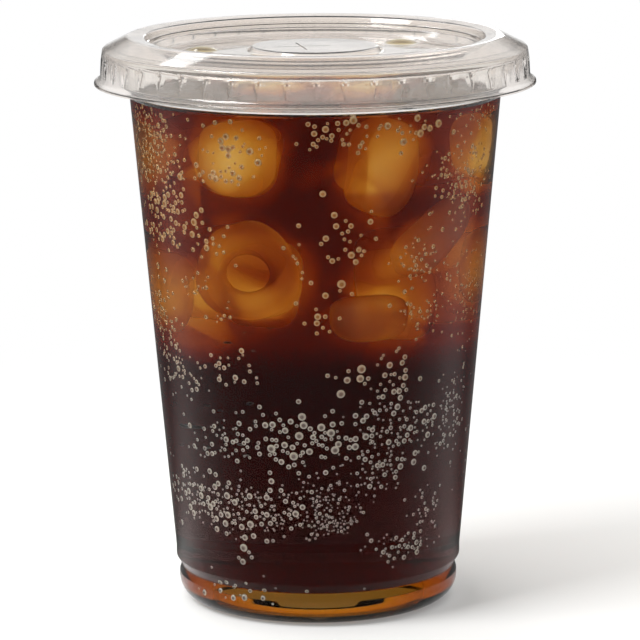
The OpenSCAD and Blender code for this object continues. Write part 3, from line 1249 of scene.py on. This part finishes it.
@dataclass
class Bubbles:
    """Gas bubbles that cling to the inside of the wall, gathered in drifts as in a freshly poured drink.

    Attributes:
        seed: Start of the random draws.
        flatness: Height of a bubble off the wall, as a share of its width.
        gap: Least distance between two bubbles, as a share of their mean width.
        sunk: How far a bubble stands off the wall.
        spread: Share of a patch's spread that one step of the normal draw takes.
        small_bias: How much likelier small bubbles are; 1 is even.
        lowest: Lowest place of a bubble.
        highest: Highest place, just under the drink's surface.
        tiny_to: Bubbles under this size have the coarsest mesh.
        large_from: Bubbles from this size have the finest.
        finish: The look of the bubbles.
        front: The patches on the front half of the wall.
        back_drifts: Number of patches on the rest of it.
        back_count: Number of bubbles in each of those.
    """

    seed: int = 11
    flatness: float = 0.5
    gap: float = 0.9
    sunk: float = 0.05
    spread: float = 0.6
    small_bias: float = 1.8
    lowest: float = 4.5
    highest: float = 113.2
    tiny_to: float = 0.8
    large_from: float = 1.25
    finish: GasBubble = GasBubble("gas_bubble_painted_gleam")
    front: tuple[Cluster, ...] = (
        Cluster(-63, 106, 13, 8, 260, 0.6, 1.5),
        Cluster(-60, 92, 14, 9, 200, 0.8, 1.8),
        Cluster(-33, 115, 12, 1, 45, 0.35, 0.75),
        Cluster(-26, 107, 10, 6, 48, 0.6, 1.7),
        Cluster(-33, 100, 8, 2, 14, 0.8, 1.6),
        Cluster(-37, 87, 8, 4, 20, 0.8, 1.9),
        Cluster(-44, 76, 6, 3, 18, 0.5, 1.2),
        Cluster(-68, 65, 10, 8, 130, 0.6, 1.5),
        Cluster(-34, 69, 4, 2, 10, 0.5, 1.1),
        Cluster(7, 110, 9, 3, 44, 0.7, 1.6),
        Cluster(11, 86, 8, 7, 44, 0.8, 2.0),
        Cluster(-6, 82, 3, 6, 14, 0.7, 1.2),
        Cluster(2, 70, 5, 3, 14, 0.8, 1.8),
        Cluster(27, 111, 9, 4, 40, 0.6, 1.9),
        Cluster(43, 101, 4, 3, 14, 0.6, 1.2),
        Cluster(61, 111, 11, 3, 45, 0.4, 0.9),
        Cluster(56, 98, 14, 8, 190, 0.5, 1.3),
        Cluster(35, 81, 8, 5, 60, 0.5, 1.2),
        Cluster(66, 73, 19, 8, 200, 0.35, 0.85),
        Cluster(40, 70, 10, 4, 50, 0.4, 1.1),
        Cluster(27, 57, 6, 5, 34, 0.7, 1.6),
        Cluster(12, 57, 7, 4, 10, 0.9, 2.2),
        Cluster(-6, 43, 17, 5, 150, 0.8, 1.9),
        Cluster(29, 43, 19, 7, 220, 0.5, 1.5),
        Cluster(-38, 41, 14, 5, 70, 0.5, 1.4),
        Cluster(-58, 55, 14, 5, 60, 0.5, 1.3),
        Cluster(-30, 57, 10, 5, 26, 0.6, 1.4),
        Cluster(-49, 27, 20, 5, 190, 0.5, 1.7),
        Cluster(-22, 26, 16, 5, 190, 0.4, 1.5),
        Cluster(3, 28, 11, 5, 170, 0.3, 0.85),
        Cluster(5, 23, 7, 2, 70, 0.3, 0.8),
        Cluster(-30, 17, 6, 2, 10, 0.9, 1.9),
        Cluster(34, 17, 13, 3, 70, 0.4, 1.3),
        Cluster(46, 24, 8, 5, 40, 0.4, 1.0),
        Cluster(59, 46, 11, 11, 110, 0.35, 0.95),
        Cluster(-29, 7, 21, 3, 26, 0.5, 1.6),
        Cluster(22, 35, 10, 4, 60, 0.4, 1.2),
    )
    back_drifts: int = 12
    back_count: int = 26

    def drifts(self, draw: np.random.Generator) -> list[Cluster]:
        """Adds patches drawn at random for the rest of the wall.

        Args:
            draw: The source of random numbers.

        Returns:
            The front's patches, and the others after them.
        """
        rest = [Cluster(float(draw.uniform(85, 275)), float(draw.uniform(16, 106)), float(draw.uniform(10, 22)),
                        float(draw.uniform(5, 12)), self.back_count, 0.35, 0.8)
                for _ in range(self.back_drifts)]
        return [*self.front, *rest]

    def places(self, cup: Cup) -> list[tuple[Vector, Vector, float]]:
        """Draws a place, an outward direction and a size for each bubble, none overlapping another.

        Args:
            cup: The cup whose wall carries the bubbles.

        Returns:
            The bubbles' middles, directions and diameters, in millimetres.
        """
        draw = np.random.default_rng(self.seed)
        kept: list[tuple[Vector, Vector, float]] = []
        centres = np.zeros((0, 3))
        sizes = np.zeros(0)
        for cluster in self.drifts(draw):
            for _ in range(cluster.count):
                size = cluster.smallest + (cluster.largest - cluster.smallest) * draw.random() ** self.small_bias
                bearing = cluster.bearing + cluster.wide * draw.normal() * self.spread
                height = cluster.height + cluster.tall * draw.normal() * self.spread
                if not self.lowest < height < self.highest:
                    continue
                middle, out = cup.wall_point(bearing, height, size * self.flatness / 2 + self.sunk)
                spot = np.array(middle)
                if len(sizes) and np.any(np.linalg.norm(centres - spot, axis=1) < (sizes + size) / 2 * self.gap):
                    continue
                centres = np.vstack([centres, spot])
                sizes = np.append(sizes, size)
                kept.append((middle, out, size))
        return kept

    def tree(self, name: str, segments: int, rings: int) -> Tree:
        """The node tree that sets a flattened ball at each point.

        Args:
            name: The tree's name.
            segments: How many sides a ball has round its edge.
            rings: How many rings it has from the wall to the drink.

        Returns:
            The geometry node tree.
        """
        tree = bpy.data.node_groups.new(name, "GeometryNodeTree")
        face = tree.interface
        for label, way, kind in (("Geometry", "INPUT", "Geometry"), ("Flatness", "INPUT", "Float"),
                                 ("Finish", "INPUT", "Material"), ("Geometry", "OUTPUT", "Geometry")):
            face.new_socket(label, in_out=way, socket_type=f"NodeSocket{kind}")
        enter = add_node(tree, "NodeGroupInput")
        ball = add_node(tree, "GeometryNodeMeshUVSphere", {"Radius": 0.5, "Segments": segments, "Rings": rings})
        place = add_node(tree, "GeometryNodeInputPosition")
        parts = add_node(tree, "ShaderNodeSeparateXYZ", {0: place.outputs[0]})
        flat = add_node(tree, "ShaderNodeCombineXYZ", {"X": parts.outputs["X"], "Y": parts.outputs["Y"]})
        reach = add_node(tree, "ShaderNodeVectorMath", {0: flat.outputs[0]}, operation="LENGTH")
        share = maths(tree, "MULTIPLY", reach.outputs["Value"], 2.0)
        rim = add_node(tree, "GeometryNodeStoreNamedAttribute",
                       {"Geometry": ball.outputs["Mesh"], "Name": "rim", "Value": share},
                       data_type="FLOAT", domain="POINT")
        thin = add_node(tree, "ShaderNodeCombineXYZ", {"X": 1.0, "Y": 1.0, "Z": enter.outputs["Flatness"]})
        pressed = add_node(tree, "GeometryNodeTransform", {"Geometry": rim.outputs[0], "Scale": thin.outputs[0]})
        smooth = add_node(tree, "GeometryNodeSetShadeSmooth", {"Geometry": pressed.outputs[0]})
        out = add_node(tree, "GeometryNodeInputNamedAttribute", {"Name": "out"}, data_type="FLOAT_VECTOR")
        size = add_node(tree, "GeometryNodeInputNamedAttribute", {"Name": "size"}, data_type="FLOAT")
        turn = add_node(tree, "FunctionNodeAlignRotationToVector", {"Vector": out.outputs[0]}, axis="Z")
        put = add_node(tree, "GeometryNodeInstanceOnPoints",
                       {"Points": enter.outputs["Geometry"], "Instance": smooth.outputs[0],
                        "Rotation": turn.outputs[0], "Scale": size.outputs[0]})
        real = add_node(tree, "GeometryNodeRealizeInstances", {"Geometry": put.outputs[0]})
        dress = add_node(tree, "GeometryNodeSetMaterial", {"Geometry": real.outputs[0],
                                                           "Material": enter.outputs["Finish"]})
        add_node(tree, "NodeGroupOutput", {"Geometry": dress.outputs[0]})
        return tree

    def piece(self, name: str, rows: list[tuple[Vector, Vector, float]], segments: int, rings: int,
              material: bpy.types.Material) -> None:
        """Makes one mesh of many bubbles.

        Args:
            name: The piece's name.
            rows: The bubbles' middles, directions and diameters, in millimetres.
            segments: How many sides a bubble has round its edge.
            rings: How many rings it has from the wall to the drink.
            material: The bubbles' finish.
        """
        mesh = bpy.data.meshes.new(name)
        mesh.from_pydata([tuple(middle * MM) for middle, out, size in rows], [], [])
        mesh.attributes.new("out", "FLOAT_VECTOR", "POINT").data.foreach_set(
            "vector", np.array([out for middle, out, size in rows], np.float32).ravel())
        mesh.attributes.new("size", "FLOAT", "POINT").data.foreach_set(
            "value", np.array([size * MM for middle, out, size in rows], np.float32))
        holder = put_in_scene(name + "_points", mesh)
        grow = holder.modifiers.new("bubbles", "NODES")
        grow.node_group = self.tree(name, segments, rings)
        sockets = {item.name: item.identifier for item in grow.node_group.interface.items_tree
                   if item.in_out == "INPUT"}
        grow[sockets["Flatness"]] = self.flatness
        grow[sockets["Finish"]] = material
        result = settled(holder, grow)
        bpy.data.objects.remove(holder)
        result.name = name
        finish_piece(put_in_scene(name, result), Body.CUP)

    def build(self, cup: Cup) -> None:
        """Builds, dresses and hands over the bubbles.

        Args:
            cup: The cup whose wall carries the bubbles.
        """
        material = self.finish.material()
        rows = self.places(cup)
        for name, low, high, segments, rings in (("bubbles_tiny", 0.0, self.tiny_to, 8, 5),
                                                 ("bubbles_small", self.tiny_to, self.large_from, 10, 5),
                                                 ("bubbles_large", self.large_from, math.inf, 12, 6)):
            self.piece(name, [row for row in rows if low <= row[2] < high], segments, rings, material)


@dataclass(frozen=True)
class Softbox:
    """A soft light that faces the cup.

    Attributes:
        name: The light's name.
        place: Where it hangs, in metres.
        size: Its width and height, in metres.
        power: Its power in watts.
        seen: Whether it shows directly and through the drink, and not only as a gleam.
    """

    name: str
    place: Triple
    size: tuple[float, float]
    power: float
    seen: bool = True

    def hang(self) -> None:
        """Hangs the light."""
        data = bpy.data.lights.new(self.name, "AREA")
        data.shape = "RECTANGLE"
        data.size, data.size_y = self.size
        data.energy = self.power
        lamp = put_in_scene(self.name, data)
        lamp.location = self.place
        lamp.visible_camera = lamp.visible_transmission = self.seen
        lamp.rotation_euler = (Vector((0, 0, 0.08)) - Vector(self.place)).to_track_quat("-Z", "Y").to_euler()


@dataclass
class Studio:
    """Floor, light and camera: a white sweep, a soft room and the photograph's view.

    Attributes:
        camera_distance: From the cup's axis to the camera, in millimetres along the floor.
        camera_height: Height of the camera, in millimetres.
        pitch: How far it looks down, in radians.
        roll: How far it is turned about its view, in radians.
        focal_pixels: Its focal length in the photograph's pixels.
        middle_pixel: Column of the photograph that it looks straight at.
        sensor_mm: Width of its sensor.
        flag_edge: Sideways part of a direction at which a dark flag begins and is full.
        flag_top: Upward part of a direction at which the flags begin to end and have ended.
        flag_light: Share of the light that a flag leaves.
        backdrop_edge: Backward part of a direction at which the backdrop begins and is full.
        room: Colour of the room's light.
        room_left: Stretch of a direction's sideways part, and the room's light at its two ends.
        room_over: The same for the upward part.
        room_behind: The same for the backward part.
        pale: Colour of the floor.
        shaded: Painted shade: the floor's darker colour under the foot, where the cup's shadow falls.
        shade_edge: Where the painted shade ends and the pale floor is full, in metres from the axis.
        fade_edge: Where the floor begins to fade into the backdrop and has become it.
        hollow_glow: Painted light: how brightly the floor itself glows under the foot, though it is no lamp.
        hollow_edge: Where that light begins to end and has ended.
        floor_half: Half of the floor's width.
        floor_drop: How far the floor lies under the foot, so that the two don't touch.
        softboxes: The lights.
        bounces: Times that light may bend through the plastic, the drink and the bubbles.
        glossy_bounces: Times that light may be mirrored.
    """

    camera_distance: float = 834.5
    camera_height: float = 224.4
    pitch: float = 0.19158
    roll: float = -0.00615
    focal_pixels: float = 3799.4
    middle_pixel: float = 316.61
    sensor_mm: float = 36.0
    flag_edge: tuple[float, float] = (0.07, 0.17)
    flag_top: tuple[float, float] = (0.15, 0.45)
    flag_light: float = 0.12
    backdrop_edge: tuple[float, float] = (0.1, 0.7)
    room: Colour = (1.0, 0.985, 0.96, 1.0)
    room_left: tuple[float, ...] = (0.15, -0.8, 0.0, 0.75)
    room_over: tuple[float, ...] = (0.2, 0.8, 0.0, 0.7)
    room_behind: tuple[float, ...] = (0.0, 0.9, 0.03, 0.8)
    pale: Colour = (0.96, 0.96, 0.955, 1.0)
    # The floor's colour under the foot is painted darker, as shade.
    shaded: Colour = (0.75, 0.73, 0.7, 1.0)
    shade_edge: tuple[float, float] = (0.026, 0.031)
    fade_edge: tuple[float, float] = (0.025, 0.3)
    # Painted light: the floor glows under the foot and lights it from below, though nothing there is a lamp.
    hollow_glow: float = 0.22
    hollow_edge: tuple[float, float] = (0.029, 0.036)
    floor_half: float = 4.0
    floor_drop: float = 0.0002
    softboxes: tuple[Softbox, ...] = (
        Softbox("key_softbox", (-0.9, -0.5, 1.1), (0.7, 0.7), 14.0),
        Softbox("crown_softbox", (-0.32, 0.81, 0.95), (0.3, 0.16), 0.8, False),
        Softbox("recess_softbox", (0.17, 1.4, 0.33), (0.2, 0.12), 0.3, False),
    )
    bounces: int = 32
    glossy_bounces: int = 6

    def camera(self) -> None:
        """Places the camera at the photograph's angle and distance."""
        data = bpy.data.cameras.new("camera")
        data.sensor_width = self.sensor_mm
        data.lens = self.focal_pixels / PHOTO_PIXELS * data.sensor_width
        data.shift_x = (PHOTO_PIXELS / 2 - self.middle_pixel) / PHOTO_PIXELS
        data.clip_start, data.clip_end = 0.01, 50.0
        view = put_in_scene("camera", data)
        ahead = Vector((0, math.cos(self.pitch), -math.sin(self.pitch)))
        level_up = Vector((0, math.sin(self.pitch), math.cos(self.pitch)))
        side = Vector((1, 0, 0))
        right = side * math.cos(self.roll) + level_up * math.sin(self.roll)
        up = level_up * math.cos(self.roll) - side * math.sin(self.roll)
        turn = Matrix((right, up, -ahead)).transposed().to_4x4()
        view.matrix_world = Matrix.Translation(Vector((0, -self.camera_distance, self.camera_height)) * MM) @ turn
        bpy.context.scene.camera = view

    def flags(self, tree: Tree, direction: Socket) -> tuple[Socket, Socket]:
        """Two dark flags beside the backdrop, which only a gleam sees, so that clear plastic has dark edges.

        Args:
            tree: The nodes to add to.
            direction: The way that a ray goes, or the way to a place on the floor.

        Returns:
            Sockets that are 1 for a gleam that goes behind the cup, and for one that meets a flag there.
        """
        parts = add_node(tree, "ShaderNodeSeparateXYZ", {0: direction}).outputs
        ray = add_node(tree, "ShaderNodeLightPath").outputs
        outer = ramp(tree, maths(tree, "ABSOLUTE", parts["X"]), *self.flag_edge)
        low = ramp(tree, parts["Z"], *self.flag_top, 1.0, 0.0)
        card = maths(tree, "MULTIPLY", outer, low)
        backdrop = ramp(tree, parts["Y"], *self.backdrop_edge)
        gleam = maths(tree, "SUBTRACT", ray["Is Glossy Ray"], ray["Is Transmission Ray"], clamp=True)
        behind = maths(tree, "MULTIPLY", gleam, backdrop)
        return behind, maths(tree, "MULTIPLY", behind, card)

    def world(self) -> None:
        """A white backdrop to the eye, through clear plastic and in its gleam, and a soft room to everything else.

        Two dark flags stand beside the backdrop, so that the edges of clear plastic draw as lines.
        """
        world = bpy.data.worlds.new("studio")
        bpy.context.scene.world = world
        world.use_nodes = True
        tree = world.node_tree
        tree.nodes.clear()
        direction = add_node(tree, "ShaderNodeTexCoord").outputs["Generated"]
        parts = add_node(tree, "ShaderNodeSeparateXYZ", {0: direction}).outputs
        left = ramp(tree, parts["X"], *self.room_left)
        over = ramp(tree, parts["Z"], *self.room_over)
        behind = ramp(tree, parts["Y"], *self.room_behind)
        light = maths(tree, "ADD", maths(tree, "ADD", left, over), behind)
        behind_ray, flagged = self.flags(tree, direction)
        spared = ramp(tree, flagged, 0.0, 1.0, 1.0, self.flag_light, "LINEAR")
        room = add_node(tree, "ShaderNodeBackground", {"Color": self.room,
                                                       "Strength": maths(tree, "MULTIPLY", light, spared)})
        white = add_node(tree, "ShaderNodeBackground", {"Color": WHITE, "Strength": 1.0})
        ray = add_node(tree, "ShaderNodeLightPath").outputs
        direct = maths(tree, "MAXIMUM", ray["Is Camera Ray"], ray["Is Transmission Ray"])
        seen = maths(tree, "MAXIMUM", direct, maths(tree, "SUBTRACT", behind_ray, flagged))
        mix = add_node(tree, "ShaderNodeMixShader", {0: seen, 1: room.outputs[0], 2: white.outputs[0]})
        add_node(tree, "ShaderNodeOutputWorld", {"Surface": mix.outputs[0]})

    def floor(self) -> None:
        """A pale matt floor that fades into the white backdrop and keeps the cup's soft shadow, with painted shade
        and a painted glow under the foot.
        """
        mesh = bpy.data.meshes.new("floor")
        half = self.floor_half
        mesh.from_pydata([(-half, -half, 0), (half, -half, 0), (half, half, 0), (-half, half, 0)], [], [(0, 1, 2, 3)])
        floor = put_in_scene("floor", mesh)
        floor.location.z = -self.floor_drop
        material = bpy.data.materials.new("pale_sweep")
        material.use_nodes = True
        tree = material.node_tree
        tree.nodes.clear()
        place = add_node(tree, "ShaderNodeTexCoord").outputs["Object"]
        away = add_node(tree, "ShaderNodeVectorMath", {0: place}, operation="LENGTH").outputs["Value"]
        # Painted shade: the floor's colour is darker under the foot.
        tone = blend(tree, ramp(tree, away, *self.shade_edge), self.shaded, self.pale)
        matt = add_node(tree, "ShaderNodeBsdfDiffuse", {"Color": tone})
        glow = add_node(tree, "ShaderNodeEmission", {"Color": WHITE, "Strength": 1.0})
        fade = ramp(tree, away, *self.fade_edge, easing="SMOOTHERSTEP")
        # Painted light: the floor glows under the foot.
        hollow = ramp(tree, away, *self.hollow_edge, self.hollow_glow, 0.0)
        sweep = add_node(tree, "ShaderNodeMixShader", {0: maths(tree, "MAXIMUM", fade, hollow), 1: matt.outputs[0],
                                                       2: glow.outputs[0]})
        way = add_node(tree, "ShaderNodeVectorMath", {0: place}, operation="NORMALIZE").outputs["Vector"]
        share = maths(tree, "MULTIPLY", self.flags(tree, way)[1], 1 - self.flag_light)
        card = add_node(tree, "ShaderNodeEmission", {"Color": (0.0, 0.0, 0.0, 1.0), "Strength": 0.0})
        mix = add_node(tree, "ShaderNodeMixShader", {0: share, 1: sweep.outputs[0], 2: card.outputs[0]})
        add_node(tree, "ShaderNodeOutputMaterial", {"Surface": mix.outputs[0]})
        mesh.materials.append(material)

    def build(self) -> None:
        """Sets up the whole studio."""
        self.camera()
        self.world()
        self.floor()
        for softbox in self.softboxes:
            softbox.hang()
        scene = bpy.context.scene
        scene.view_settings.view_transform = "Standard"
        scene.cycles.max_bounces = self.bounces
        scene.cycles.transmission_bounces = self.bounces
        scene.cycles.transparent_max_bounces = self.bounces
        scene.cycles.glossy_bounces = self.glossy_bounces


def main() -> None:
    """Builds the studio and every piece, in order."""
    Studio().build()
    cup = Cup()
    cup.build()
    Lid().build(cup)
    ice = Ice(cup)
    Drink(cup, ice).build()
    ice.build()
    Bubbles().build(cup)


if __name__ == "__main__":
    main()
